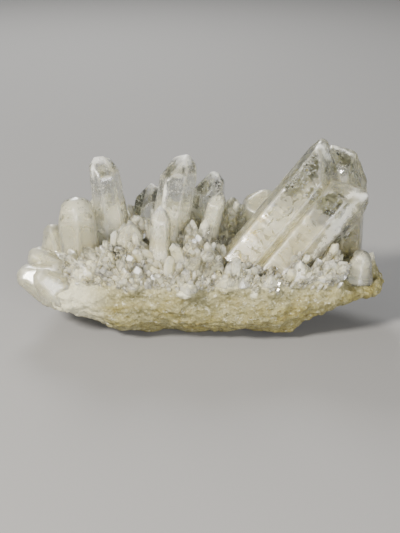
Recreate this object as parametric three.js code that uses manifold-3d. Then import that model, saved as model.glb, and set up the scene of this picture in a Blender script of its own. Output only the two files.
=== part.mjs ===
// A quartz point cluster: clear and milky points standing on a boat-shaped plate of massive quartz.
// Millimetres, +Z up, +X along the plate and -Y towards the viewer. The plate rests on the broken
// flat under its middle, and the origin is on that surface, under the middle of the bounding box.
import * as THREE from "three";
import { ConvexGeometry } from "three/addons/geometries/ConvexGeometry.js";
import { ImprovedNoise } from "three/addons/math/ImprovedNoise.js";
import { mergeVertices } from "three/addons/utils/BufferGeometryUtils.js";
import Module from "manifold-3d";

const wasm = await Module();
wasm.setup();

// Quartz: the angle between the rhombohedral faces and a plane across the crystal's axis.
const tipFaceAngle = THREE.MathUtils.degToRad(51.8);
const wornSlope = 0.5 * tipFaceAngle; // wear rounds a tip between its faces and a plane across it,
const shoulderSlope = 0.5 * (tipFaceAngle + Math.PI / 2); // and from a radius of 2 its shoulders too
const shoulderRadius = 2;
const seatGap = 0.3; // between a crystal's root and the socket that it stands in

const plate = {
  halfLength: 39.6,
  halfDepth: 16.6,
  endTop: 11.4, // height of the upper side at both ends, and how far its middle domes above that
  dome: 5.4,
  undercut: 0.1, // how much narrower the underside is than the rim
  rimRise: 0.75, // less than 1 puts the widest place above half height
  footLeft: -16, // the underside is level between these two, and rises outside them
  footRight: 19.6,
  leftRise: 8.6,
  rightRise: 8.4,
  rightStep: 2.2, // the broken step where the right overhang starts
  settle: 0.5, // how deep the underside is broken flat
  squareness: 2.9, // 2 is an ellipsoid, more is boxier
  segments: [28, 12, 4],
  lumps: [
    { size: 8, height: 1.3 },
    { size: 3.1, height: 0.75 },
  ],
};

// The points. Each runs from root to tip along its axis, where tip is the height at which its
// termination faces would meet if they were all alike. width is across the corners at the root,
// taper in degrees a side, turn in degrees about the axis from facing the viewer. sides gives how
// far out each of the six prism faces has grown, and caps how far each termination face is above
// (or below) the tip, in mm. Face 0 looks at the viewer, and they go round anticlockwise. worn is
// the radius to which knocks have rounded the tip.
const evenSides = [1, 1, 1, 1, 1, 1];
const greatTurn = -32; // the great points grew parallel to each other
const greatLean = new THREE.Vector3(0.64, 0.27, 0.72).normalize();

// A point of the great group: it starts at root and leans as the others of the group do.
function greatPoint(root, length, shape) {
  const base = new THREE.Vector3(...root);
  const tip = base.clone().addScaledVector(greatLean, length);
  return { root, tip: tip.toArray(), turn: greatTurn, taper: 0.3, ...shape };
}

const points = {
  great_points: [
    greatPoint([4.1, -8.2, 9.4], 40, { width: 12, worn: 1.2, caps: [2, -3, 0, -2.4, 2.4, 5] }),
    greatPoint([12.5, -9.9, 10.2], 31.6, {
      width: 9.9,
      worn: 1,
      caps: [-0.9, 4.6, 2.6, 0.1, 2.6, 4.6],
    }),
    greatPoint([12.5, -1.7, 8.3], 38.5, {
      width: 15,
      worn: 1.8,
      sides: [1, 1, 1, 1, 1.12, 1.24],
      caps: [0.2, -3.6, -1.4, -3.8, 4, 5],
    }),
    { root: [31.4, 4.4, 9.6], tip: [31.4, 4.8, 28], width: 8.4, turn: 12, taper: 0.5 },
  ],
  left_point: [
    { root: [-17.7, 2.8, 7], tip: [-21.2, 1.8, 36.8], width: 8.8, turn: 14, taper: 2.2,
      caps: [-0.6, 0, 1.5, 0.4, 1.8, 1.2] },
  ],
  left_end_points: [
    { root: [-25.2, -2.4, 8], tip: [-26.5, -5.4, 31.6], width: 9.6, turn: 34, taper: 1, worn: 3.4 },
    { root: [-30.2, 5.2, 8.6], tip: [-33.6, 4.6, 21.4], width: 10, turn: 34, taper: 2, worn: 2 },
    { root: [-30.4, -0.4, 8.4], tip: [-37.6, -1, 17.6], width: 10, turn: 36, taper: 2, worn: 2.2 },
    { root: [-31, -4.6, 9.6], tip: [-40.8, -4.6, 13.2], width: 10, turn: 30, taper: 2, worn: 2.4 },
    { root: [-30, -8.4, 9.8], tip: [-35.2, -11.4, 16], width: 8.4, turn: 25, taper: 2, worn: 2 },
    { root: [-29.4, 9, 8.6], tip: [-35.8, 10.8, 17], width: 8.4, turn: 30, taper: 2, worn: 1 },
  ],
  rear_small_point: [
    { root: [-14.2, 9.6, 7], tip: [-11.7, 9.8, 29.4], width: 6.2, turn: 24, taper: 0.8,
      caps: [-1.8, 0.8, 0.4, 0, -2, -3.2] },
  ],
  centre_point: [
    { root: [-9.4, -1, 7.5], tip: [-3.8, -0.2, 39.2], width: 8.6, turn: -10, taper: 0.8, worn: 1,
      caps: [-1.2, -0.6, 0.6, 0.8, 1, -2.6] },
  ],
  front_point: [
    { root: [-8.7, -9.2, 7], tip: [-8.6, -8.9, 29.4], width: 4.7, turn: 8, taper: 0.4,
      caps: [-0.8, -0.4, 0.4, 0.4, 0, -0.5] },
  ],
  middle_point: [
    { root: [-0.6, 5.6, 7], tip: [1.9, 5.8, 33.4], width: 9.8, turn: 20, taper: 2.6, worn: 1.4,
      caps: [-0.4, 0.6, 0.6, -0.2, -1.6, -1.6] },
  ],
  inner_point: [
    { root: [-1.6, -2.8, 8], tip: [3.7, -0.4, 30], width: 4.6, turn: -18, taper: 0.6,
      caps: [-1.2, 0.2, 0.6, 0.4, 0.2, -0.8] },
  ],
  rear_milky_points: [
    { root: [8, 10.6, 8.6], tip: [16, 12.4, 26.8], width: 10.4, turn: -28, taper: 0.8, worn: 1.4,
      caps: [-1, -1.2, 0, 0, 0.6, 0.4] },
    { root: [5.2, 11.6, 8.6], tip: [7.2, 14, 24.2], width: 6, turn: 10, taper: 1, worn: 1 },
  ],
  front_left_stub_point: [
    { root: [-16.4, -4.8, 7.5], tip: [-14.8, -5.4, 25], width: 6.6, turn: 16, taper: 1.2,
      caps: [-1.4, -0.4, 0.4, 0.4, 0, -0.8] },
  ],
  right_knob_point: [
    { root: [32.8, -4.6, 9.8], tip: [34.8, -6, 19.8], width: 6.6, turn: 30, taper: 1.5, worn: 2,
      caps: [-1.6, -1.2, 0.6, 0.4, -0.6, -1.2] },
  ],
  back_left_point: [
    { root: [-20.6, 9.6, 8.4], tip: [-23.4, 16, 24.4], width: 7, turn: -20, taper: 1.2,
      caps: [0.4, 0, -1.6, -0.6, 0.4, 0.8] },
  ],
  back_middle_point: [
    { root: [-7.2, 11, 8.4], tip: [-7.6, 17, 22.2], width: 6.6, turn: 30, taper: 1.2,
      caps: [0.4, 0.4, -1.2, -1.8, 0, 0.6] },
  ],
  back_right_point: [
    { root: [19.4, 10.2, 8.6], tip: [22.8, 17, 23.4], width: 7.4, turn: 5, taper: 1,
      caps: [0.6, 0, -1, -2, 0, 0.6] },
  ],
  back_end_point: [
    { root: [27.4, 11.4, 9.2], tip: [30.4, 15.4, 18.8], width: 4.8, turn: 40, taper: 1.4 },
  ],
};

// Middle-sized points that are one with the plate, in the same terms.
const fusedPoints = [
  { root: [-3.6, -8, 9], tip: [-3, -12.4, 20.4], width: 5, turn: 20, taper: 2 },
  { root: [-2.8, -6.6, 9], tip: [-1.4, -7.4, 24], width: 4.4, turn: -10, taper: 1 },
  { root: [1.6, -8, 9], tip: [1, -11.4, 21.4], width: 6, turn: 35, taper: 2 },
  { root: [-12.6, -7, 9], tip: [-13.2, -10.4, 21.6], width: 5.6, turn: 5, taper: 1.5 },
  { root: [-19, -7, 8], tip: [-20.4, -10.8, 21], width: 6.6, turn: 0, taper: 2 },
  { root: [-14.6, -10, 8], tip: [-16, -14.4, 17.8], width: 5.6, turn: 30, taper: 2 },
  { root: [-23, -8, 9], tip: [-25.4, -12, 18.6], width: 6, turn: 15, taper: 2 },
  { root: [-13, 1.6, 8], tip: [-13.4, 0.6, 23.4], width: 5.6, turn: 15, taper: 1 },
  { root: [-7, -10, 8], tip: [-7, -15, 18], width: 5.4, turn: 0, taper: 2 },
  { root: [5, -11, 8], tip: [5, -15.4, 17], width: 6, turn: 24, taper: 2 },
  { root: [19.4, -8, 8], tip: [20, -13, 19], width: 7, turn: 12, taper: 2 },
  { root: [25.6, -7, 8], tip: [27.4, -11.6, 18], width: 7, turn: -16, taper: 2 },
  { root: [24.6, -3.4, 8], tip: [25.4, -6, 21.4], width: 6.4, turn: 20, taper: 1 },
  { root: [9, -11, 9], tip: [8.4, -15.2, 18.2], width: 6.4, turn: 14, taper: 2 },
  { root: [13.4, -11, 8], tip: [14, -15.6, 16.6], width: 6.6, turn: -20, taper: 2 },
  { root: [34.6, 0.6, 9.6], tip: [37.2, 0.8, 15.4], width: 6.4, turn: 0, taper: 2 },
  { root: [6.2, 5.4, 9], tip: [6.4, 6, 24], width: 4, turn: 15, taper: 1 },
  { root: [13.8, 12, 8], tip: [13.4, 17.4, 19], width: 5.4, turn: 0, taper: 2 },
  { root: [-14.4, 12, 8], tip: [-15.4, 17.4, 18.4], width: 5.4, turn: 12, taper: 2 },
  { root: [0.6, 12.4, 8], tip: [0.8, 17.6, 18.4], width: 5.4, turn: -12, taper: 2 },
  { root: [-28, 11, 9], tip: [-31, 14.6, 17], width: 6, turn: 0, taper: 2 },
];

// The small points of the crust, spread evenly over the plate's upper half.
const crust = {
  count: 46,
  ends: 36.5, // they reach this far along X, each way
  lowest: 22, // degrees above level, seen from the plate's core, towards the viewer
  highest: 158, // and the same towards the back
  coreHeight: 5,
  width: [2.2, 4.4],
  exposed: [1.6, 5], // how far a tip stands out of the crust
  rooted: 1.8,
  tilt: 0.38, // how far an axis may turn from straight out
};

const colours = { plate: 0xcdc7a8, milky: 0xd8d5c8, clear: 0xdadbd4 };

const noise = new ImprovedNoise();

// A repeatable stream of numbers from 0 to 1.
function makeRandom(seed) {
  let state = seed;
  return () => {
    state = (state * 1664525 + 1013904223) % 4294967296;
    return state / 4294967296;
  };
}

// A closed geometry as a solid that can be joined and cut.
function toSolid(geometry) {
  const bare = new THREE.BufferGeometry();
  bare.setAttribute("position", geometry.getAttribute("position"));
  if (geometry.index) bare.setIndex(geometry.index);
  const merged = mergeVertices(bare, 1e-4);
  return new wasm.Manifold(
    new wasm.Mesh({
      numProp: 3,
      vertProperties: merged.attributes.position.array,
      triVerts: new Uint32Array(merged.index.array),
    }),
  );
}

function toGeometry(solid) {
  const mesh = solid.getMesh();
  const geometry = new THREE.BufferGeometry();
  geometry.setAttribute("position", new THREE.BufferAttribute(mesh.vertProperties, 3));
  geometry.setIndex(new THREE.BufferAttribute(mesh.triVerts, 1));
  const flat = geometry.toNonIndexed();
  flat.computeVertexNormals();
  return flat;
}

const joinAll = (solids) => solids.reduce((whole, next) => whole.add(next));

// The direction that leans slope radians away from a crystal's axis, over one of its six faces.
function faceNormal(face, slope) {
  const turn = (face * Math.PI) / 3;
  const reach = Math.sin(slope);
  return new THREE.Vector3(Math.cos(turn) * reach, Math.sin(turn) * reach, Math.cos(slope));
}

// The planes that bound one crystal in its own frame, with its axis up: each is a normal and how
// far out it has grown along it.
function growthPlanes({ length, width, taper = 0, sides = evenSides, caps = evenSides.map(() => 0) }) {
  const flatRadius = (width / 2) * Math.cos(Math.PI / 6);
  const lean = THREE.MathUtils.degToRad(taper);
  const planes = [{ normal: new THREE.Vector3(0, 0, -1), out: 0 }];
  for (let face = 0; face < 6; face++) {
    planes.push({
      normal: faceNormal(face, Math.PI / 2 - lean),
      out: flatRadius * sides[face] * Math.cos(lean),
    });
    planes.push({
      normal: faceNormal(face, tipFaceAngle),
      out: (length + caps[face]) * Math.cos(tipFaceAngle),
    });
  }
  return planes;
}

// The planes that round a tip off: they touch a ball of the worn radius set just inside it.
function wornPlanes(tip, radius) {
  const middle = tip.clone();
  middle.z -= radius / Math.cos(tipFaceAngle);
  const normals = [new THREE.Vector3(0, 0, 1)];
  for (let face = 0; face < 6; face++) {
    normals.push(faceNormal(face, wornSlope));
    if (radius >= shoulderRadius) normals.push(faceNormal(face, shoulderSlope));
  }
  return normals.map((normal) => ({ normal, out: normal.dot(middle) + radius }));
}

// The corners of the space inside all the planes: every place where three of them meet and no
// other cuts it off.
function cornersInside(planes) {
  const corners = [];
  const system = new THREE.Matrix3();
  planes.forEach((a, i) =>
    planes.slice(i + 1).forEach((b, j) =>
      planes.slice(i + j + 2).forEach((c) => {
        system.set(...a.normal.toArray(), ...b.normal.toArray(), ...c.normal.toArray());
        if (Math.abs(system.determinant()) < 1e-6) return;
        const corner = new THREE.Vector3(a.out, b.out, c.out).applyMatrix3(system.invert());
        const inside = planes.every((p) => p.normal.dot(corner) <= p.out + 1e-6);
        const known = corners.some((other) => other.distanceTo(corner) < 0.02);
        if (inside && !known) corners.push(corner);
      }),
    ),
  );
  return corners;
}

// One crystal, in place. gap moves every face outwards, which gives the socket that it fits.
function crystalSolid(spec, gap = 0) {
  const root = new THREE.Vector3(...spec.root);
  const axis = new THREE.Vector3(...spec.tip).sub(root);
  const planes = growthPlanes({ ...spec, length: axis.length() });
  if (spec.worn) {
    const [tip] = cornersInside(planes).sort((a, b) => b.z - a.z);
    planes.push(...wornPlanes(tip, spec.worn));
  }
  planes.forEach((plane) => (plane.out += gap));
  const up = axis.normalize();
  const towardsViewer = new THREE.Vector3(0, -1, 0).projectOnPlane(up).normalize();
  towardsViewer.applyAxisAngle(up, THREE.MathUtils.degToRad(spec.turn));
  const across = new THREE.Vector3().crossVectors(up, towardsViewer);
  const place = new THREE.Matrix4().makeBasis(towardsViewer, across, up).setPosition(root);
  return toSolid(new ConvexGeometry(cornersInside(planes)).applyMatrix4(place));
}

// The underside's height: level under the foot, rising to both ends, with a step on the right.
function undersideAt(x) {
  if (x < plate.footLeft) {
    return (plate.leftRise * (plate.footLeft - x)) / (plate.halfLength + plate.footLeft);
  }
  if (x < plate.footRight) return 0;
  const run = (x - plate.footRight) / (plate.halfLength - plate.footRight);
  return plate.rightStep * Math.min(1, run * 6) + (plate.rightRise - plate.rightStep) * run;
}

// The bare plate: a box drawn in to a rounded boat, then broken up by lumps.
function plateGeometry() {
  const power = plate.squareness;
  const box = new THREE.BoxGeometry(2, 2, 2, ...plate.segments);
  const position = box.getAttribute("position");
  const p = new THREE.Vector3();
  for (let i = 0; i < position.count; i++) {
    p.fromBufferAttribute(position, i);
    const size = Math.abs(p.x) ** power + Math.abs(p.y) ** power + Math.abs(p.z) ** power;
    p.divideScalar(size ** (1 / power));
    const outwards = p.clone().divide(new THREE.Vector3(3, 1.4, 1)).normalize();
    const level = ((p.z + 1) / 2) ** plate.rimRise; // 0 at the underside, 1 on top
    const x = p.x * plate.halfLength;
    const low = undersideAt(x);
    const high = plate.endTop + plate.dome * (1 - p.x ** 2);
    const narrower = 1 - plate.undercut * (1 - level);
    p.set(x, p.y * plate.halfDepth * narrower, low + level * (high - low) - plate.settle);
    const rough = plate.lumps.reduce(
      (sum, { size: s, height }) => sum + height * noise.noise(p.x / s, p.y / s + 9, p.z / s),
      0,
    );
    p.addScaledVector(outwards, rough);
    position.setXYZ(i, p.x, p.y, p.z);
  }
  return box;
}

// Where the small points stand: a ray from outside is sent at the plate's core, and the point
// grows out of the place that it meets.
function crustPoints(plateMesh) {
  const random = makeRandom(7);
  const between = ([low, high], share) => THREE.MathUtils.lerp(low, high, share);
  const raycaster = new THREE.Raycaster();
  const specs = [];
  for (let i = 0; i < crust.count; i++) {
    const x = between([-crust.ends, crust.ends], (i + random()) / crust.count);
    const angle = THREE.MathUtils.degToRad(
      between([crust.lowest, crust.highest], (i * 0.618034 + 0.15 * random()) % 1),
    );
    const outwards = new THREE.Vector3(0, -Math.cos(angle), Math.sin(angle));
    const core = new THREE.Vector3(x * 0.92, 0, crust.coreHeight);
    raycaster.set(core.clone().addScaledVector(outwards, 60), outwards.clone().negate());
    const [hit] = raycaster.intersectObject(plateMesh);
    if (!hit) continue;
    const axis = outwards.clone();
    axis.x += x / 60 + crust.tilt * (random() - 0.5) * 2;
    axis.y += crust.tilt * (random() - 0.5);
    axis.normalize();
    const share = random();
    specs.push({
      root: hit.point.clone().addScaledVector(axis, -crust.rooted).toArray(),
      tip: hit.point.clone().addScaledVector(axis, between(crust.exposed, share)).toArray(),
      width: between(crust.width, share),
      turn: 60 * random(),
      taper: 2,
      caps: evenSides.map(() => -0.7 * random()),
    });
  }
  return specs;
}

// The plate with all that is one with it, less a socket for each point that stands in it.
function plateSolid(sockets) {
  const bare = plateGeometry();
  const small = crustPoints(new THREE.Mesh(bare)).concat(fusedPoints);
  const brokenOff = new THREE.BoxGeometry(120, 60, 20).translate(0, 0, -10);
  const whole = joinAll([toSolid(bare), ...small.map((spec) => crystalSolid(spec))])
    .subtract(toSolid(brokenOff))
    .subtract(sockets);
  return whole.decompose().reduce((a, b) => (b.volume() > a.volume() ? b : a));
}

function makeMesh(name, solid, colour, roughness) {
  const material = new THREE.MeshStandardMaterial({ color: colour, roughness, metalness: 0 });
  material.name = name;
  const mesh = new THREE.Mesh(toGeometry(solid), material);
  mesh.name = name;
  return mesh;
}

const cluster = new THREE.Group();
const allPoints = Object.values(points).flat();
const sockets = joinAll(allPoints.map((spec) => crystalSolid(spec, seatGap)));
cluster.add(makeMesh("matrix", plateSolid(sockets), colours.plate, 0.75));
for (const [name, specs] of Object.entries(points)) {
  const milky = /stub|milky|end_points/.test(name);
  const solid = joinAll(specs.map((spec) => crystalSolid(spec)));
  cluster.add(makeMesh(name, solid, milky ? colours.milky : colours.clear, milky ? 0.3 : 0.1));
}

// The middle of the bounding box stands over the origin.
const bounds = new THREE.Box3().setFromObject(cluster);
const middle = bounds.getCenter(new THREE.Vector3());
cluster.position.set(-middle.x, -middle.y, -bounds.min.z);

export default cluster;
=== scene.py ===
# Looks of a quartz point cluster: clear and milky points standing on a plate of sugary quartz.
import math
import random

import bmesh
import bpy
from mathutils import Matrix, Vector, noise
from mathutils.geometry import intersect_point_line
from mathutils.bvhtree import BVHTree
from mathutils.kdtree import KDTree


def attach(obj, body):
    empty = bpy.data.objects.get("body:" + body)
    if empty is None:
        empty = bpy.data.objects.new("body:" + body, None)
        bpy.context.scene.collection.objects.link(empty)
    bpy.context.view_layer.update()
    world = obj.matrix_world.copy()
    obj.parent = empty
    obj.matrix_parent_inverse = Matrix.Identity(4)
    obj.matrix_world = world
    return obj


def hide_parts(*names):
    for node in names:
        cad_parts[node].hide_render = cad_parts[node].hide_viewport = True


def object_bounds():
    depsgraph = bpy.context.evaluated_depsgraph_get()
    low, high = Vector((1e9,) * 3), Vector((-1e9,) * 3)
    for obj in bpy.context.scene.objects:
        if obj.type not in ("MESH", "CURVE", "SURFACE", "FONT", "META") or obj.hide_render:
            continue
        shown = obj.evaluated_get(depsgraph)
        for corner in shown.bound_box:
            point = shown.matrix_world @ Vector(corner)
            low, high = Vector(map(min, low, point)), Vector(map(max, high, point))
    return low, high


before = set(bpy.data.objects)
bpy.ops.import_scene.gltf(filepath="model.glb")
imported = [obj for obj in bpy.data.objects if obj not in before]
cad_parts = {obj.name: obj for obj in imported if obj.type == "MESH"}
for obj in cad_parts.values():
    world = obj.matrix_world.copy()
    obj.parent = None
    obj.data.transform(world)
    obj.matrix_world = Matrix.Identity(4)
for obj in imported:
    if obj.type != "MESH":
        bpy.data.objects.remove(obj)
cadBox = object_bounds()
mm = 0.001
up = Vector((0, 0, 1))


# Small helpers

def linear(hexColour):
    # sRGB hex to the linear colour that the shaders work in
    channels = [int(hexColour[i:i + 2], 16) / 255 for i in (1, 3, 5)]
    return [c / 12.92 if c <= 0.04045 else ((c + 0.055) / 1.055) ** 2.4 for c in channels] + [1.0]


def smooth(low, high, value):
    # 0 below low, 1 above high, and an easy curve between
    share = min(1.0, max(0.0, (value - low) / (high - low)))
    return share * share * (3 - 2 * share)


def mottle(place, size, seed=0.0):
    # soft lumps from -1 to 1, about size mm across
    return noise.noise(place / (size * mm) + Vector((seed, seed * 1.7, -seed)))


def between(ends, share):
    return ends[0] + (ends[1] - ends[0]) * share


def anyWay(rng):
    return Vector([rng.gauss(0, 1) for _ in range(3)]).normalized()


def jitter(rng, reach):
    return Vector([rng.uniform(-reach, reach) for _ in range(3)])


def turnedTo(axis, angle):
    # a turn about +Z, and then one that takes +Z to the axis
    return axis.to_track_quat("Z", "Y").to_matrix().to_4x4() @ Matrix.Rotation(angle, 4, "Z")


def addNode(tree, kind, settings, inputs):
    # adds one shader node, sets it, and feeds each input with a value or another node's output
    node = tree.nodes.new("ShaderNode" + kind)
    for key, value in settings.items():
        setattr(node, key, value)
    for key, value in inputs.items():
        if isinstance(value, bpy.types.NodeSocket):
            tree.links.new(value, node.inputs[key])
        else:
            node.inputs[key].default_value = value
    return node.outputs


def objectOf(name, bm):
    mesh = bpy.data.meshes.new(name)
    bm.to_mesh(mesh)
    bm.free()
    thing = bpy.data.objects.new(name, mesh)
    bpy.context.scene.collection.objects.link(thing)
    return thing


def addPiece(name, bm, material, nodes):
    # a finished mesh, kept inside the CAD part's reach, becomes a piece that stands for its CAD nodes
    for vert in bm.verts:
        vert.co = [min(max(vert.co[i], cadBox[0][i]), cadBox[1][i]) for i in range(3)]
    piece = objectOf(name, bm)
    piece.data.materials.append(material)
    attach(piece, "root")
    if nodes:
        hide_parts(*nodes)
    return piece


# Mesh helpers

def addLayers(bm, names):
    return [bm.verts.layers.float.new(name) for name in names]


def cutPlane(bm, place, normal, weld=1e-7, **dropped):
    # cuts the mesh along a plane; where one side is dropped, the cut is closed
    bmesh.ops.bisect_plane(bm, geom=bm.verts[:] + bm.edges[:] + bm.faces[:], dist=weld,
                           plane_co=place, plane_no=normal, **dropped)
    if dropped:
        bmesh.ops.holes_fill(bm, edges=[edge for edge in bm.edges if edge.is_boundary], sides=0)


def moveVerts(bm, moves):
    for vert, move in zip(bm.verts, moves):
        vert.co += move


def ease(bm, verts, rounds):
    # rounds the shape off, each time halfway to the neighbours' middle
    for _ in range(rounds):
        bmesh.ops.smooth_vert(bm, verts=verts, factor=0.5,
                              use_axis_x=True, use_axis_y=True, use_axis_z=True)


def shadeSmooth(bm):
    for face in bm.faces:
        face.smooth = True


# Copies of the CAD solids, with their flat faces whole again

weldGap = 0.004  # mm, corners nearer than this are one
flatAngle = 0.6  # degrees, faces that turn by less are one


def copyOfNode(name):
    bm = bmesh.new()
    bm.from_mesh(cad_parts[name].data)
    bmesh.ops.remove_doubles(bm, verts=bm.verts, dist=weldGap * mm)
    bmesh.ops.dissolve_limit(bm, angle_limit=math.radians(flatAngle), verts=bm.verts, edges=bm.edges)
    return bm


def treeOfNode(name):
    bm = copyOfNode(name)
    tree = BVHTree.FromBMesh(bm)
    bm.free()
    return tree


# Materials

ofColours = {"data_type": "RGBA"}
eased = {"interpolation_type": "SMOOTHSTEP"}
crystalLayers = ("clearness", "rim", "along", "stain", "frost")  # what the quartz is like at each vertex


def newMaterial(name):
    material = bpy.data.materials.new(name)
    material.use_nodes = True
    material.node_tree.nodes.clear()
    return material, material.node_tree


def crystalMaterial(name, look):
    # Rock crystal: clear quartz clouded white towards the root by tiny fluid bubbles. The eye gets
    # glossy flat faces, see-through windows near the tip, wisps of milk, and cream bruised edges.
    material, tree = newMaterial(name)
    place = addNode(tree, "TexCoord", {}, {})["Object"]
    clearness, rim, along, stain, frost = [
        addNode(tree, "Attribute", {"attribute_name": key}, {})["Fac"] for key in crystalLayers]
    # the patterns, by size in mm, detail, roughness and distortion
    wisps, crackPlaces, frostPatches, tone, veins, wear, pits = [
        addNode(tree, "TexNoise", {}, {
            "Vector": place, "Scale": 1 / (size * mm), "Detail": detail, "Roughness": rough,
            "Distortion": bend})["Fac"]
        for size, detail, rough, bend in (
            (look["wispSize"], 6.0, 0.66, 0.8), (1.6, 5.0, 0.75, 0.0), (0.9, 6.0, 0.75, 0.0),
            (5.5, 4.0, 0.65, 0.0), (2.2, 6.0, 0.7, 1.2), (1.1, 4.0, 0.6, 0.0), (0.45, 3.0, 0.6, 0.0))]

    # milk: what isn't clear, with wispy borders about 1 mm wide
    wispShift = addNode(tree, "MapRange", {"clamp": False}, {
        "Value": wisps, "From Min": 0.3, "From Max": 0.7, "To Min": -look["wispStrength"],
        "To Max": look["wispStrength"]})["Result"]
    worn = addNode(tree, "Math", {"operation": "MULTIPLY"}, {0: rim, 1: look["edgeFrost"]})[0]
    clearLeft = addNode(tree, "Math", {"operation": "SUBTRACT"}, {0: clearness, 1: worn})[0]
    clearMixed = addNode(tree, "Math", {"operation": "ADD"}, {0: clearLeft, 1: wispShift})[0]
    clearShare = addNode(tree, "MapRange", eased, {
        "Value": clearMixed, "From Min": look["milkEdge"][0], "From Max": look["milkEdge"][1]})["Result"]
    # healed cracks: a faint web in the milky quartz, 0.75 mm from one crack to the next
    cracks = addNode(tree, "TexVoronoi", {"feature": "DISTANCE_TO_EDGE"}, {
        "Vector": place, "Scale": 1 / (0.75 * mm)})["Distance"]
    crackEdge = addNode(tree, "MapRange", {}, {
        "Value": cracks, "From Max": 0.12, "To Min": 1.0, "To Max": 0.0})["Result"]
    crackHere = addNode(tree, "MapRange", {}, {
        "Value": crackPlaces, "From Min": 0.5, "From Max": 0.62, "To Max": look["cracks"]})["Result"]
    crackShare = addNode(tree, "Math", {"operation": "MULTIPLY"}, {0: crackEdge, 1: crackHere})[0]
    clear = addNode(tree, "Math", {"operation": "SUBTRACT", "use_clamp": True}, {
        0: clearShare, 1: crackShare})[0]
    # frost: bruised and worn skin, and one streak of painted internal reflection, white and matt, thick only
    # in patches
    frostHere = addNode(tree, "Math", {"operation": "MULTIPLY"}, {0: frost, 1: frostPatches})[0]
    frostShare = addNode(tree, "MapRange", eased, {
        "Value": frostHere, "From Min": 0.12, "From Max": 0.55, "To Max": 0.85})["Result"]
    throughMilk = addNode(tree, "MapRange", {}, {
        "Value": clear, "To Min": look["leastClear"]})["Result"]
    transmission = addNode(tree, "Mix", {"data_type": "FLOAT"}, {
        0: frostShare, 2: throughMilk, 3: 0.2})[0]

    # colour: white milk, warmer in places, ochre where iron has got in
    toneShare = addNode(tree, "MapRange", {}, {
        "Value": tone, "From Min": 0.38, "From Max": 0.64})["Result"]
    milk = addNode(tree, "Mix", ofColours, {
        0: toneShare, 6: linear(look["milk"]), 7: linear(look["warmMilk"])})[2]
    stained = addNode(tree, "Math", {"operation": "MULTIPLY"}, {0: veins, 1: stain})[0]
    stainShare = addNode(tree, "MapRange", {}, {
        "Value": stained, "From Min": 0.26, "From Max": 0.62, "To Max": 0.8})["Result"]
    bodyColour = addNode(tree, "Mix", ofColours, {
        0: stainShare, 6: milk, 7: linear(look["iron"])})[2]
    innerColour = addNode(tree, "Mix", ofColours, {
        0: clear, 6: bodyColour, 7: linear(look["clear"])})[2]
    colour = addNode(tree, "Mix", ofColours, {
        0: frostShare, 6: innerColour, 7: linear(look["milk"])})[2]

    # light that enters the milk is scattered, so it is rough inside under its polished faces
    wornHere = addNode(tree, "Math", {"operation": "MULTIPLY"}, {0: wear, 1: rim})[0]
    wornRough = addNode(tree, "MapRange", {}, {
        "Value": wornHere, "From Min": 0.1, "From Max": 0.6, "To Max": 0.3})["Result"]
    milkRough = addNode(tree, "MapRange", {}, {
        "Value": clear, "From Max": 0.85, "To Min": look["milkRough"],
        "To Max": look["polish"]})["Result"]
    skinRough = addNode(tree, "Math", {"operation": "ADD", "use_clamp": True}, {
        0: wornRough, 1: milkRough})[0]
    roughness = addNode(tree, "Math", {"operation": "MULTIPLY_ADD", "use_clamp": True}, {
        0: frostShare, 1: 0.3, 2: skinRough})[0]

    # growth lines: fine ridges across the prism faces, about 0.4 mm apart, that bend a little
    lineCoord = addNode(tree, "CombineXYZ", {}, {0: along, 1: 0.0, 2: 0.0})[0]
    drift = addNode(tree, "VectorMath", {"operation": "MULTIPLY"}, {
        0: place, 1: (90.0, 90.0, 90.0)})[0]
    lineVector = addNode(tree, "VectorMath", {"operation": "ADD"}, {0: lineCoord, 1: drift})[0]
    lines = addNode(tree, "TexNoise", {}, {
        "Vector": lineVector, "Scale": 2.6, "Detail": 3.0, "Roughness": 0.55})["Fac"]
    ripples = addNode(tree, "Bump", {}, {
        "Height": lines, "Strength": look["lineDepth"], "Distance": 0.05 * mm})["Normal"]
    normal = addNode(tree, "Bump", {}, {
        "Height": pits, "Strength": look["pitDepth"], "Distance": 0.04 * mm, "Normal": ripples})["Normal"]

    surface = addNode(tree, "BsdfPrincipled", {"subsurface_method": "RANDOM_WALK"}, {
        "Base Color": colour, "Roughness": roughness, "IOR": 1.544, "Normal": normal,
        "Transmission Weight": transmission, "Subsurface Weight": look["glow"],
        "Subsurface Radius": (1.0, 1.0, 0.95), "Subsurface Scale": look["glowReach"] * mm,
        "Coat Weight": look["gloss"], "Coat Roughness": 0.05, "Coat IOR": 1.5})["BSDF"]
    body = addNode(tree, "VolumeAbsorption", {}, {
        "Color": linear(look["depthColour"]), "Density": look["depthDensity"]})["Volume"]
    addNode(tree, "OutputMaterial", {}, {"Surface": surface, "Volume": body})
    return material


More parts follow.
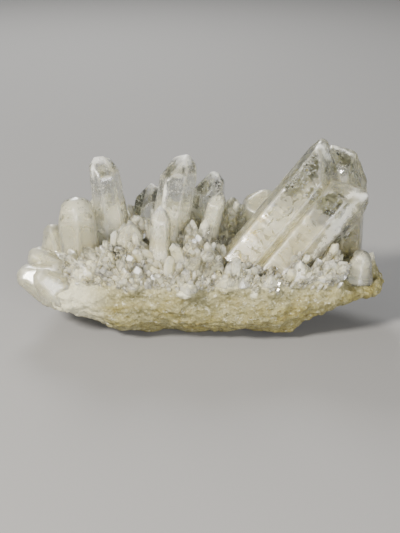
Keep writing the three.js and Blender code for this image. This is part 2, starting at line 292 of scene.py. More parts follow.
def plateMaterial(name, look):
    # Massive quartz broken across: sugary grains under a millimetre wide, cream, ochre where iron
    # water has soaked in. The eye gets a matt, softly glowing stone with white specks and tiny glints.
    material, tree = newMaterial(name)
    place = addNode(tree, "TexCoord", {}, {})["Object"]
    slanted = addNode(tree, "Mapping", {}, {
        "Vector": place, "Rotation": (0.0, math.radians(24), 0.0), "Scale": (0.62, 1.0, 1.0)})["Vector"]
    grains = addNode(tree, "TexVoronoi", {"feature": "F1"}, {
        "Vector": place, "Scale": 1 / (look["grain"] * mm)})
    grainTone = addNode(tree, "SeparateColor", {}, {"Color": grains["Color"]})
    patches = addNode(tree, "TexNoise", {}, {
        "Vector": slanted, "Scale": 1 / (4.2 * mm), "Detail": 7.0, "Roughness": 0.68,
        "Distortion": 0.6})["Fac"]
    level = addNode(tree, "SeparateXYZ", {}, {"Vector": place})
    stainHere = patches
    for axis, start, end, least, most in look["soaked"]:
        soaked = addNode(tree, "MapRange", {}, {
            "Value": level[axis], "From Min": start * mm, "From Max": end * mm, "To Min": least,
            "To Max": most})["Result"]
        stainHere = addNode(tree, "Math", {"operation": "ADD"}, {0: stainHere, 1: soaked})[0]
    stainShare = addNode(tree, "MapRange", eased, {
        "Value": stainHere, "From Min": 0.4, "From Max": 0.68})["Result"]
    cream = addNode(tree, "Mix", ofColours, {
        0: grainTone["Red"], 6: linear(look["cream"]), 7: linear(look["paleCream"])})[2]
    ochre = addNode(tree, "Mix", ofColours, {
        0: grainTone["Green"], 6: linear(look["ochre"]), 7: linear(look["straw"])})[2]
    stained = addNode(tree, "Mix", ofColours, {
        0: stainShare, 6: cream, 7: ochre})[2]
    # white specks: whole grains of clean quartz, thicker in some places
    speckle = addNode(tree, "TexNoise", {}, {
        "Vector": place, "Scale": 1 / (1.3 * mm), "Detail": 6.0, "Roughness": 0.8})["Fac"]
    specks = addNode(tree, "MapRange", {}, {
        "Value": speckle, "From Min": 0.57, "From Max": 0.66, "To Max": 0.7})["Result"]
    specked = addNode(tree, "Mix", ofColours, {
        0: specks, 6: stained, 7: linear(look["white"])})[2]
    # milk: above the broken front, between the points and at the left end, the quartz is clean and pale
    cleaner = addNode(tree, "Attribute", {"attribute_name": "white"}, {})["Fac"]
    for axis, start, end in look["cleanFrom"]:
        washed = addNode(tree, "MapRange", eased, {
            "Value": level[axis], "From Min": start * mm, "From Max": end * mm, "To Max": 0.75})["Result"]
        cleaner = addNode(tree, "Math", {"operation": "MAXIMUM"}, {0: cleaner, 1: washed})[0]
    cleanPatches = addNode(tree, "Math", {"operation": "MULTIPLY_ADD", "use_clamp": True}, {
        0: patches, 1: -1.2, 2: 1.6})[0]
    cleanShare = addNode(tree, "Math", {"operation": "MULTIPLY"}, {0: cleaner, 1: cleanPatches})[0]
    colour = addNode(tree, "Mix", ofColours, {
        0: cleanShare, 6: specked, 7: linear(look["clean"])})[2]
    roughness = addNode(tree, "MapRange", {}, {
        "Value": grainTone["Blue"], "From Max": 0.35, "To Min": 0.15, "To Max": 0.6})["Result"]
    crumb = addNode(tree, "TexNoise", {}, {
        "Vector": place, "Scale": 1 / (0.5 * mm), "Detail": 4.0, "Roughness": 0.75})["Fac"]
    fineRelief = addNode(tree, "Bump", {}, {
        "Height": crumb, "Strength": 1.0, "Distance": 0.3 * mm})["Normal"]
    normal = addNode(tree, "Bump", {}, {
        "Height": grains["Distance"], "Strength": 0.6, "Distance": 0.22 * mm, "Normal": fineRelief})["Normal"]
    surface = addNode(tree, "BsdfPrincipled", {"subsurface_method": "RANDOM_WALK"}, {
        "Base Color": colour, "Roughness": roughness, "IOR": 1.544, "Normal": normal,
        "Subsurface Weight": 0.35, "Subsurface Radius": (1.0, 0.95, 0.8),
        "Subsurface Scale": 0.5 * mm})["BSDF"]
    addNode(tree, "OutputMaterial", {}, {"Surface": surface})
    return material


def cloudMaterial(name, look):
    # Milky quartz inside a crystal: countless tiny bubbles. The eye gets a soft white body with
    # no surface of its own, warmer and duller in places.
    material, tree = newMaterial(name)
    place = addNode(tree, "TexCoord", {}, {})["Object"]
    tone = addNode(tree, "TexNoise", {}, {
        "Vector": place, "Scale": 1 / (3.0 * mm), "Detail": 5.0, "Roughness": 0.65})["Fac"]
    toneShare = addNode(tree, "MapRange", {}, {
        "Value": tone, "From Min": 0.36, "From Max": 0.66})["Result"]
    milk = addNode(tree, "Mix", ofColours, {
        0: toneShare, 6: linear(look["milk"]), 7: linear(look["warmMilk"])})[2]
    veins = addNode(tree, "TexNoise", {}, {
        "Vector": place, "Scale": 1 / (4.0 * mm), "Detail": 6.0, "Roughness": 0.7, "Distortion": 1.0})["Fac"]
    stain = addNode(tree, "Attribute", {"attribute_name": "stain"}, {})["Fac"]
    stained = addNode(tree, "Math", {"operation": "MULTIPLY_ADD"}, {0: stain, 1: 0.3, 2: veins})[0]
    stainShare = addNode(tree, "MapRange", {}, {
        "Value": stained, "From Min": 0.5, "From Max": 0.78, "To Max": 0.8})["Result"]
    colour = addNode(tree, "Mix", ofColours, {
        0: stainShare, 6: milk, 7: linear(look["iron"])})[2]
    surface = addNode(tree, "BsdfPrincipled", {}, {
        "Base Color": colour, "Roughness": 0.9, "Specular IOR Level": 0.0})["BSDF"]
    addNode(tree, "OutputMaterial", {}, {"Surface": surface})
    return material


def flakeMaterial(name, look):
    # A healed crack seen flat on: it shines from some sides and is white from the others. The eye
    # gets sparkling specks inside the clear quartz, a few of them gold, a colour that is partly an iron film
    # and partly a painted glint for the cracks' rainbow shine.
    material, tree = newMaterial(name)
    gold = addNode(tree, "Attribute", {"attribute_name": "gold"}, {})["Fac"]
    # gold flakes: a flat gold colour, partly iron film and partly a painted glint
    colour = addNode(tree, "Mix", ofColours, {
        0: gold, 6: linear(look["white"]), 7: linear(look["gold"])})[2]
    surface = addNode(tree, "BsdfPrincipled", {}, {
        "Base Color": colour, "Roughness": 0.25})["BSDF"]
    addNode(tree, "OutputMaterial", {}, {"Surface": surface})
    return material


veilLook = {"white": "#f7f5ef", "gold": "#f2dc5a"}
quartzLooks = {
    "clear": {
        "milk": "#faf8ea", "warmMilk": "#ece7cd", "iron": "#bdb078", "clear": "#fafaf5",
        "wispSize": 1.7, "wispStrength": 0.75, "edgeFrost": 0.75, "milkEdge": (0.0, 0.9),
        "leastClear": 0.84, "cracks": 0.0, "polish": 0.02, "milkRough": 0.16, "lineDepth": 0.4,
        "pitDepth": 0.2, "glow": 0.85, "glowReach": 2.6, "gloss": 0.35,
        "depthColour": "#c6c9c4", "depthDensity": 100.0},
    "milky": {
        "milk": "#f0efdf", "warmMilk": "#e2dec8", "iron": "#bdb27e", "clear": "#f2f2e8",
        "wispSize": 2.0, "wispStrength": 0.6, "edgeFrost": 0.4, "milkEdge": (0.0, 1.0),
        "leastClear": 0.8, "cracks": 0.1, "polish": 0.05, "milkRough": 0.2, "lineDepth": 0.3,
        "pitDepth": 0.3, "glow": 0.9, "glowReach": 2.8, "gloss": 0.4,
        "depthColour": "#cfd0c6", "depthDensity": 60.0},
    "crust": {
        "milk": "#fdf8dc", "warmMilk": "#efe6bd", "iron": "#c2b06a", "clear": "#fcf9e6",
        "wispSize": 1.6, "wispStrength": 0.5, "edgeFrost": 0.1, "milkEdge": (0.0, 1.0),
        "leastClear": 0.42, "cracks": 0.0, "polish": 0.04, "milkRough": 0.16, "lineDepth": 0.3,
        "pitDepth": 0.3, "glow": 0.9, "glowReach": 2.4, "gloss": 0.5,
        "depthColour": "#e8e6da", "depthDensity": 30.0},
}
crystalMaterials = {key: crystalMaterial(key + "Quartz", look) for key, look in quartzLooks.items()}
plateLook = {
    "grain": 0.55,  # mm across a grain
    "cream": "#6f6942", "paleCream": "#a19b72", "ochre": "#6c5f2a", "straw": "#948b50",
    "white": "#e2e1cc", "clean": "#d9d5b9",
    # where more or less iron water has soaked in: axis, from and to in mm, and the change it makes
    "soaked": (("Z", 14, 9, -0.16, 0.03), ("X", 33, 39, 0.0, 0.06), ("X", -14, -30, 0.0, -0.1),
               ("X", 0, 14, 0.0, 0.04)),
    "cleanFrom": (("Z", 12.5, 15.5), ("X", -18, -27)),  # axis, from and to in mm
}
sugaryQuartz = plateMaterial("sugaryQuartz", plateLook)
milkLook = {"milk": "#fdfbee", "warmMilk": "#f2eed8", "iron": "#c7be80"}
milkMaterial = cloudMaterial("cloudedQuartz", milkLook)
print("materials done")


# The points: each is a CAD solid cut into small faces, then given the relief of a grown crystal

relief = {
    "longEdge": 0.3,  # the share of the longest edge from which an edge shows a growth direction
    "sameWay": 7,  # degrees within which edges run one way
    "edgeAngle": 12,  # degrees, from where two faces meet in an edge that can wear
    "edgeGap": 0.3,  # mm between the spots that mark an edge
    "cutAlong": 0.6,  # mm between cuts across the crystal's length
    "cutAcross": 0.8,
    "steps": 0.014,  # mm, growth steps on the prism faces
    "swell": 0.03,  # mm, slow unevenness of every face
    "chips": 0.2,  # mm, how deep edges are chipped
    "flare": 0.33,  # mm, how much a root widens to meet the plate
    "flareGap": (0.3, 1.1),  # mm from the plate over which the widening ends
    "flareLevel": (14, 17),  # mm above the rest over which it ends as well
    "sharpAngle": 27,  # degrees
}

matrixTree = treeOfNode("matrix")


def growthAxes(bm):
    # the directions that the crystals of this node grew in: its long edges, gathered by direction
    lengths = sorted(bm.edges, key=lambda edge: -edge.calc_length())
    shortest = lengths[0].calc_length() * relief["longEdge"]
    axes = []
    for edge in lengths:
        if edge.calc_length() < shortest:
            break
        line = edge.verts[1].co - edge.verts[0].co
        line *= 1 if line.z > 0 else -1
        for axis in axes:
            if axis.normalized().angle(line) < math.radians(relief["sameWay"]):
                axis += line
                break
        else:
            axes.append(line.copy())
    return [axis.normalized() for axis in axes]


def edgeTree(bm):
    # spots all along the crystal's edges, for measuring how near an edge a place is
    spots = []
    for edge in bm.edges:
        if len(edge.link_faces) == 2 and edge.calc_face_angle() > math.radians(relief["edgeAngle"]):
            start, end = edge.verts[0].co, edge.verts[1].co
            count = max(1, int((end - start).length / (relief["edgeGap"] * mm)))
            spots += [start.lerp(end, i / count) for i in range(count + 1)]
    tree = KDTree(len(spots))
    for i, spot in enumerate(spots):
        tree.insert(spot, i)
    tree.balance()
    return tree


def cutUp(bm, direction, gap, rng):
    # parallel cuts through the whole mesh, unevenly spaced as growth steps are
    reach = [direction.dot(vert.co) for vert in bm.verts]
    place = min(reach)
    while place < max(reach):
        place += gap * mm * rng.uniform(0.65, 1.35)
        cutPlane(bm, direction * place, direction)


def clearAt(place, share, spec):
    # how clear the quartz is at a place: clouded below, clearer above and around each window
    clear = smooth(spec["clearFrom"] - 0.16, spec["clearFrom"] + 0.16, share) * spec["clearTop"]
    for spot, radius, _ in spec["windows"]:
        distance = (place - Vector(spot) * mm).length / mm
        clear = max(clear, 1.15 * (1 - smooth(0.6 * radius, 1.35 * radius, distance)))
    return clear


def frostAt(place, share, spec):
    # how white and rough the skin is: the worn tip, and white streaks from one spot to another: bruises, and
    # one painted internal reflection
    frost = smooth(0.86, 1.0, share) * spec["tipFrost"]
    frost += spec["bodyFrost"] * (1 - smooth(spec["clearFrom"] - 0.35, spec["clearFrom"] - 0.05, share))
    for start, end, radius in spec["streaks"]:
        nearest, along = intersect_point_line(place, Vector(start) * mm, Vector(end) * mm)
        nearest = Vector(start).lerp(Vector(end), min(1.0, max(0.0, along))) * mm
        distance = (place - nearest).length / mm + 0.5 * radius * mottle(place, 1.1, 4)
        frost = max(frost, 1 - smooth(0.0, 1.3 * radius, distance))
    return frost


def growCrystal(name, spec):
    rng = random.Random(name)
    seed = rng.uniform(0, 60)
    bm = copyOfNode(name)
    axes = growthAxes(bm)
    edges = edgeTree(bm)
    for axis in axes[:spec["axes"]]:
        cutUp(bm, axis, relief["cutAlong"], rng)
    across = axes[0].orthogonal().normalized()
    cutUp(bm, across, relief["cutAcross"], rng)
    cutUp(bm, axes[0].cross(across), relief["cutAcross"], rng)
    bmesh.ops.triangulate(bm, faces=[face for face in bm.faces if len(face.verts) > 4])
    bm.normal_update()

    clearness, rim, along, stain, frost, tip = addLayers(bm, (*crystalLayers, "tip"))
    heights = [vert.co.z for vert in bm.verts]
    lowest, highest = min(heights), max(heights)
    moves = {}
    for vert in bm.verts:
        nearEdge = 1 - smooth(0.0, spec["rimWidth"], edges.find(vert.co)[2] / mm)
        axis = min(axes, key=lambda a: abs(a.dot(vert.normal)))
        onPrism = 1 - smooth(0.12, 0.3, abs(axis.dot(vert.normal)))
        height = axis.dot(vert.co) / mm
        share = (vert.co.z - lowest) / (highest - lowest)
        vert[rim] = nearEdge
        vert[along] = height
        vert[tip] = smooth(0.78, 0.97, share)
        vert[clearness] = clearAt(vert.co, share, spec)
        vert[frost] = frostAt(vert.co, share, spec)
        vert[stain] = spec["stain"] * (1 - share) + spec["tipStain"] * smooth(0.8, 1.0, share)
        lines = noise.noise(Vector((height * 1.3 + seed, vert.co.x / mm * 0.12, vert.co.y / mm * 0.12)))
        move = relief["steps"] * lines * onPrism * (1 - nearEdge)
        move += relief["swell"] * mottle(vert.co, 4.5, seed)
        chip = smooth(0.12, 0.5, mottle(vert.co, 1.7, seed + 9)) * smooth(0.45, 1.0, nearEdge)
        move -= relief["chips"] * chip * spec["rimWidth"]
        gap = matrixTree.find_nearest(vert.co, relief["flareGap"][1] * mm)[3]
        if gap is not None:
            atFoot = 1 - smooth(*relief["flareLevel"], vert.co.z / mm)
            move += relief["flare"] * atFoot * (1 - smooth(*relief["flareGap"], gap / mm))
        moves[vert] = vert.normal * move * mm
    for vert, move in moves.items():
        vert.co += move
    # handling has rounded the edges a little and the tips a lot
    nearRim = [vert for vert in bm.verts if vert[rim] > 0.9]
    nearTip = [vert for vert in bm.verts if vert[tip] > 0.35]
    ease(bm, nearRim, spec["rimRounds"])
    ease(bm, nearTip, spec["tipWear"])
    shadeSmooth(bm)
    bmesh.ops.recalc_face_normals(bm, faces=bm.faces)
    piece = addPiece(name.replace("_", "-"), bm, crystalMaterials[spec["look"]], [name])
    piece.data.set_sharp_from_angle(angle=math.radians(relief["sharpAngle"]))


def removeRough(rough):
    mesh = rough.data
    bpy.data.objects.remove(rough)
    bpy.data.meshes.remove(mesh)


def remeshed(bm, voxel, hollows=None):
    # one even skin over whatever the mesh holds, less the hollows
    rough = objectOf("rough", bm)
    if hollows:
        cutter = objectOf("rough", hollows)
        carve = rough.modifiers.new("Carve", "BOOLEAN")
        carve.operation = "DIFFERENCE"
        carve.object = cutter
    modifier = rough.modifiers.new("Remesh", "REMESH")
    modifier.mode = "VOXEL"
    modifier.voxel_size = voxel * mm
    shown = rough.evaluated_get(bpy.context.evaluated_depsgraph_get())
    result = bmesh.new()
    result.from_mesh(shown.to_mesh())
    shown.to_mesh_clear()
    removeRough(rough)
    if hollows:
        removeRough(cutter)
    result.normal_update()
    return result


def addMesh(bm, other):
    # puts another mesh in this one, and gives the new vertices
    shape = bpy.data.meshes.new("shape")
    other.to_mesh(shape)
    other.free()
    before = len(bm.verts)
    bm.from_mesh(shape)
    bpy.data.meshes.remove(shape)
    bm.verts.ensure_lookup_table()
    return bm.verts[before:]


def swell(bm, amount):
    bm.normal_update()
    moveVerts(bm, [vert.normal * amount * mm for vert in bm.verts])


def sinkUnevenly(bm, depth, seed):
    # draws the surface in, at most so far that opposite sides don't meet
    bm.normal_update()
    tree = BVHTree.FromBMesh(bm)
    moves = []
    for vert in bm.verts:
        wanted = depth * (1 + 0.6 * mottle(vert.co, 2.0, seed)) * mm
        across = tree.ray_cast(vert.co - vert.normal * 0.01 * mm, -vert.normal)[3]
        moves.append(-vert.normal * min(wanted, 0.42 * (across or 0.0)))
    moveVerts(bm, moves)


def dropCrumbs(bm, fewest):
    # loose bits with fewer vertices than this are taken out
    left = set(bm.verts)
    crumbs = []
    while left:
        group = [left.pop()]
        for vert in group:
            near = {edge.other_vert(vert) for edge in vert.link_edges} & left
            left -= near
            group += near
        if len(group) < fewest:
            crumbs += group
    bmesh.ops.delete(bm, geom=crumbs, context="VERTS")


milkHollows = {
    "depth": 0.9,  # how far behind the face the middle of a hollow lies, in window radii
    "size": 1.75,  # its radius, in window radii
    "spray": 26,  # small hollows around it
    "sprayReach": (1.0, 1.45),  # how far from its middle they are, in its radii
    "spraySize": (0.3, 0.9),  # their radius, mm
    "voxel": 0.35,  # mm
    "crumbs": (500, 200),  # vertices below which a loose bit goes, before and after sinking
}


def hollowBalls(name, windows):
    # ragged balls of clear quartz behind each window, with a spray of small ones around them
    rng = random.Random(name + "Hollows")
    tree = treeOfNode(name)
    bm = bmesh.new()
    for spot, radius, _ in windows:
        surface, outwards, _, _ = tree.find_nearest(Vector(spot) * mm)
        middle = surface - outwards * milkHollows["depth"] * radius * mm
        balls = [(middle, milkHollows["size"] * radius)]
        for _ in range(milkHollows["spray"]):
            reach = anyWay(rng) * milkHollows["size"] * radius * rng.uniform(*milkHollows["sprayReach"])
            balls.append((middle + reach * mm, rng.uniform(*milkHollows["spraySize"])))
        for centre, size in balls:
            ball = bmesh.new()
            bmesh.ops.create_icosphere(ball, subdivisions=3 if size > 1 else 1, radius=size * mm)
            for vert in ball.verts:
                vert.co *= 1 + 0.28 * mottle(vert.co + centre, 1.9) + 0.12 * mottle(vert.co + centre, 0.8)
            bmesh.ops.translate(ball, verts=ball.verts, vec=centre)
            addMesh(bm, ball)
    return remeshed(bm, milkHollows["voxel"])


def growMilk(name, spec):
    # the clouded heart of a crystal, which shows white through its clear skin
    rng = random.Random(name + "Milk")
    seed = rng.uniform(0, 60)
    hollows = hollowBalls(name, spec["windows"]) if spec["windows"] else None
    bm = remeshed(copyOfNode(name), spec["milkGrain"], hollows)
    heights = [vert.co.z for vert in bm.verts]
    low, high = min(heights), max(heights)
    dropCrumbs(bm, milkHollows["crumbs"][0])
    sinkUnevenly(bm, spec["milkDepth"], seed)
    bm = remeshed(bm, spec["milkGrain"])
    dropCrumbs(bm, milkHollows["crumbs"][1])
    ease(bm, bm.verts, 2)
    stain, = addLayers(bm, ["stain"])
    for vert in bm.verts:
        share = (vert.co.z - low) / (high - low)
        vert[stain] = spec["stain"] * (1.15 - share)
    shadeSmooth(bm)
    addPiece(name.replace("_", "-") + "-milk", bm, milkMaterial, [])


# clearFrom is the share of the height where clear quartz begins, and clearTop how clear it gets.
# Frost is how white the skin is and stain how rusty, low down and at the tip. axes are the growth
# directions that get cuts, the wear is in rounds, and rimWidth, milkGrain and milkDepth are in mm.
clearSpec = {
    "look": "clear", "slot": "clear_quartz", "axes": 1, "clearFrom": 0.62, "clearTop": 0.75,
    "bodyFrost": 0.8, "tipFrost": 0.8, "stain": 0.35, "tipStain": 0.45, "tipWear": 3,
    "rimRounds": 1, "rimWidth": 0.8, "milkGrain": 0.45, "milkDepth": 0.6, "windows": [],
    "streaks": []}
milkySpec = {
    **clearSpec, "look": "milky", "slot": "milky_quartz", "clearFrom": 0.75, "clearTop": 0.45,
    "bodyFrost": 0.45, "tipFrost": 0.2, "stain": 0.3, "tipStain": 0.1, "rimWidth": 0.6,
    "milkGrain": 0.4, "milkDepth": 0.4}
# windows: middle and radius, in mm, of the places where a face looks into clear quartz, and how
# many sheets of flakes cross it; streaks: start, end and half width of white bruises and of one painted
# internal reflection, in mm
pointSpecs = {
    "great_points": {
        **clearSpec, "axes": 2, "clearFrom": 0.8, "clearTop": 0.55, "rimWidth": 1.1,
        "tipFrost": 0.35, "bodyFrost": 0.15, "milkDepth": 1.5, "stain": 1.4,
        "streaks": [
            ((23.9, 0.3, 39.4), (26.2, 0.8, 37.4), 2.0), ((28.6, 7.6, 37.2), (32.4, 6.4, 35.6), 0.9),
            # the second streak here, along the lower right face, is a painted highlight: white for light
            # reflected inside the crystal
            ((33.5, -4.5, 30.0), (31.6, -5.4, 30.6), 1.6), ((24.2, -10.4, 19.5), (31.0, -4.4, 29.5), 2.8),
            ((12.0, -9.0, 24.0), (14.6, -7.4, 27.0), 0.7), ((21.0, -10.2, 25.0), (23.6, -8.4, 28.0), 0.6)],
        "windows": [
            ((18.4, -2.9, 32.8), 3.1, 8), ((21.2, -2.0, 35.8), 3.1, 8), ((23.6, -5.6, 30.2), 2.2, 4),
            ((26.8, -6.8, 29.0), 2.8, 5), ((29.4, 3.4, 34.6), 3.0, 4), ((31.2, -0.6, 33.2), 2.4, 3),
            ((30.1, 0.3, 19.8), 2.6, 3)]},
    "left_point": {
        **clearSpec, "clearFrom": 0.7, "stain": 0.1, "bodyFrost": 1.1,
        "windows": [((-20.4, -0.3, 30.6), 3.0, 2)],
        "streaks": [((-24.0, 0.4, 27.0), (-23.4, 0.8, 35.0), 0.8),
                    ((-20.9, -0.6, 21.0), (-21.2, -0.4, 22.6), 1.1)]},
    "centre_point": {
        **clearSpec, "clearFrom": 0.66, "stain": 0.1, "bodyFrost": 1.1,
        "windows": [((-5.4, -3.4, 31.4), 2.8, 4), ((-2.9, -1.7, 31.5), 1.8, 2)],
        "streaks": [((-8.6, -4.6, 22.0), (-8.0, -2.6, 31.5), 0.9),
                    ((-3.6, -4.2, 18.5), (-2.4, -2.6, 28.0), 1.0)]},
    "middle_point": {
        **clearSpec, "clearFrom": 0.6, "rimWidth": 0.6, "milkDepth": 1.1,
        "windows": [((0.4, 3.4, 27.6), 2.4, 1), ((2.0, 4.7, 29.6), 2.0, 1)]},
    "rear_small_point": {
        **clearSpec, "clearFrom": 0.5, "clearTop": 1.0, "rimWidth": 0.5, "milkDepth": 0.4,
        "windows": [((-13.6, 10.0, 25.6), 2.4, 1)]},
    "front_point": {**clearSpec, "clearFrom": 0.85, "clearTop": 0.5, "rimWidth": 0.35, "tipWear": 2,
                    "milkDepth": 0.7, "milkGrain": 0.35},
    "right_knob_point": {**clearSpec, "clearFrom": 0.8, "clearTop": 0.6, "tipFrost": 0.0,
                         "bodyFrost": 0.2, "milkDepth": 1.1},
    "inner_point": {**milkySpec, "rimWidth": 0.35, "tipWear": 2, "milkDepth": 0.7, "milkGrain": 0.35},
    "left_end_points": {**milkySpec, "axes": 2, "rimWidth": 1.0, "rimRounds": 2, "milkDepth": 1.5,
                        "stain": 0.75},
    "rear_milky_points": {**milkySpec, "clearTop": 0.1, "bodyFrost": 0.8, "milkDepth": 0.5},
    "front_left_stub_point": {**milkySpec, "bodyFrost": 0.7, "milkDepth": 0.6},
    "back_left_point": {**milkySpec, "clearFrom": 0.7, "clearTop": 0.8, "tipWear": 2},
    "back_middle_point": {**milkySpec, "tipWear": 2},
    "back_right_point": {**milkySpec, "clearFrom": 0.6, "clearTop": 0.9, "tipWear": 2},
    "back_end_point": {**milkySpec, "tipWear": 2},
}
for name, spec in pointSpecs.items():
    growCrystal(name, spec)
    growMilk(name, spec)
print("points done")


# The plate: its solid and the roots that stand in it, grown together and broken up by sugary grains

plateFinish = {
    "voxel": 0.42,  # mm, fine enough for the grains
    "gapVoxel": 0.5,  # mm, while the gaps are filled
    "rootLevel": 20.0,  # mm above the rest, up to where the roots count as part of the plate
    # the same for points that stand out to their feet
    "bareRoots": {"great_points": 14.5, "front_point": 12.0, "left_end_points": 10.0,
                  "right_knob_point": 10.0, "front_left_stub_point": 16.0, "rear_milky_points": 14.0,
                  "middle_point": 17.0},
    "fill": 1.7,  # mm, half the width of the gaps that quartz has filled
    "sink": 0.12,  # how far this skin lies under the flat faces of the crystals
    "lumps": (3.6, 0.42),  # size and height of the broken surface, mm
    "ledges": (1.5, 0.4),
    "grains": (0.8, 0.36),
    # lumps of white quartz on the broken front: middle, and half length, width and height, mm
    "whiteLumps": [((-4.0, -17.2, 13.6), (1.6, 0.9, 0.75)), ((-2.2, -17.0, 13.9), (0.8, 0.9, 0.6)),
                   ((10.4, -14.6, 12.4), (0.8, 0.9, 1.0)), ((23.0, -12.4, 10.6), (0.6, 0.7, 0.5))],
    "lumpLean": -12,  # degrees
    "restHeight": 0.3,  # mm, below which the underside is the flat that it rests on
}


def fillGaps(bm):
    # grows the surface and shrinks it back, which closes every gap that is narrower than twice fill
    for growth in (plateFinish["fill"], -plateFinish["fill"]):
        bm = remeshed(bm, plateFinish["gapVoxel"])
        swell(bm, growth)
    return remeshed(bm, plateFinish["voxel"])


def breakSurface(bm):
    bm.normal_update()
    moves = []
    for vert in bm.verts:
        place = vert.co
        slanted = Vector((place.x * 0.75 - place.z * 0.25, place.y, place.z + place.x * 0.25))
        rise = sum(height * mottle(slanted, size, size) for size, height in
                   (plateFinish["lumps"], plateFinish["ledges"], plateFinish["grains"]))
        under = smooth(0.2, 0.6, -vert.normal.z) * (1 - smooth(0.3, 1.2, place.z / mm))
        moves.append(vert.normal * (rise - plateFinish["sink"]) * (1 - under) * mm)
    moveVerts(bm, moves)
    for vert in bm.verts:
        if vert.co.z < plateFinish["restHeight"] * mm:
            vert.co.z = 0.0
    shadeSmooth(bm)


rubble = {
    "tries": 2500,
    "sweep": (-35, 75),  # degrees up from straight ahead
    "span": (-31, -19),  # mm along the plate
    "crease": 1.5,  # mm from the left end group
    "lowest": 5,  # mm above the rest
    "size": (0.4, 1.1),  # mm
}


def addRubble(bm):
    # broken lumps in the crease where the left end group meets the plate
    rng = random.Random("rubble")
    endTree = treeOfNode("left_end_points")
    for _ in range(rubble["tries"]):
        angle = math.radians(rng.uniform(*rubble["sweep"]))
        outwards = Vector((rng.uniform(-0.5, 0.1), -math.cos(angle), math.sin(angle))).normalized()
        core = Vector((rng.uniform(*rubble["span"]), 0, 8)) * mm
        hit = matrixTree.ray_cast(core + outwards * 60 * mm, -outwards)[0]
        if hit is None or endTree.find_nearest(hit)[3] > rubble["crease"] * mm:
            continue
        if hit.z < rubble["lowest"] * mm:
            continue
        size = rng.uniform(*rubble["size"]) * mm
        lump = bmesh.new()
        bmesh.ops.create_icosphere(lump, subdivisions=2, radius=size)
        lumpPlace = Matrix.Translation(hit) @ Matrix.Rotation(rng.uniform(0, 3.1), 4, outwards)
        lumpShape = Matrix.Diagonal((1, rng.uniform(0.5, 1), rng.uniform(0.5, 1), 1))
        bmesh.ops.transform(lump, matrix=lumpPlace @ lumpShape, verts=lump.verts)
        addMesh(bm, lump)


def growPlate():
    bm = copyOfNode("matrix")
    for name in pointSpecs:
        root = copyOfNode(name)
        level = plateFinish["bareRoots"].get(name, plateFinish["rootLevel"])
        cutPlane(root, up * level * mm, up, clear_outer=True)
        addMesh(bm, root)
    bm = fillGaps(bm)
    addRubble(bm)
    for middle, halves in plateFinish["whiteLumps"]:
        lump = bmesh.new()
        bmesh.ops.create_icosphere(lump, subdivisions=3, radius=mm)
        lean = Matrix.Rotation(math.radians(plateFinish["lumpLean"]), 4, "Y")
        lumpPlace = Matrix.Translation(Vector(middle) * mm) @ lean
        bmesh.ops.transform(lump, matrix=lumpPlace @ Matrix.Diagonal((*halves, 1)), verts=lump.verts)
        addMesh(bm, lump)
    bm = remeshed(bm, plateFinish["voxel"])
    breakSurface(bm)
    white, = addLayers(bm, ["white"])
    for vert in bm.verts:
        for middle, halves in plateFinish["whiteLumps"]:
            away = (vert.co - Vector(middle) * mm).length / mm / halves[0]
            vert[white] = max(vert[white], 1 - smooth(0.85, 1.35, away))
    tree = BVHTree.FromBMesh(bm)
    print("plate faces", len(bm.faces))
    addPiece("plate", bm, sugaryQuartz, ["matrix"])
    return tree


plateTree = growPlate()
print("plate done")


def lessRustAndShadeBehind(place):
    # less rust behind the front row of points, and less of the painted shade at the druse points' feet
    return 1 - 0.75 * smooth(0, 6, place.y / mm)


# The crust: the middle-sized points that are one with the plate, kept crisp

crust = {
    "level": 14,  # mm above the rest, where the crisp points begin
    "clearLevel": 22,  # mm, where their quartz is clearest
    "cutGap": 1.1,  # mm
    "rimWidth": 0.8,  # mm
    "unevenness": 0.1,  # mm
    "sharpAngle": 20,  # degrees
}


def growCrust():
    rng = random.Random("crust")
    bm = copyOfNode("matrix")
    cutPlane(bm, up * crust["level"] * mm, up, clear_inner=True)
    edges = edgeTree(bm)
    for direction in (Vector((1, 0, 0)), Vector((0, 1, 0)), up):
        cutUp(bm, direction, crust["cutGap"], rng)
    bmesh.ops.triangulate(bm, faces=[face for face in bm.faces if len(face.verts) > 4])
    bm.normal_update()
    clearness, rim, along, stain, _ = addLayers(bm, crystalLayers)
    for vert in bm.verts:
        vert[clearness] = 0.25 + 0.5 * smooth(crust["level"], crust["clearLevel"], vert.co.z / mm)
        vert[rim] = 1 - smooth(0.0, crust["rimWidth"], edges.find(vert.co)[2] / mm)
        vert[along] = vert.co.z / mm
        vert[stain] = (0.45 + 0.4 * mottle(vert.co, 9, 5)) * lessRustAndShadeBehind(vert.co)
    for vert in bm.verts:
        vert.co += vert.normal * crust["unevenness"] * mm * mottle(vert.co, 1.8, 2.0)
    shadeSmooth(bm)
    piece = addPiece("crust", bm, crystalMaterials["crust"], ["matrix"])
    piece.data.set_sharp_from_angle(angle=math.radians(crust["sharpAngle"]))


growCrust()
print("crust done")


# The druse: hundreds of small points that crowd between the large ones

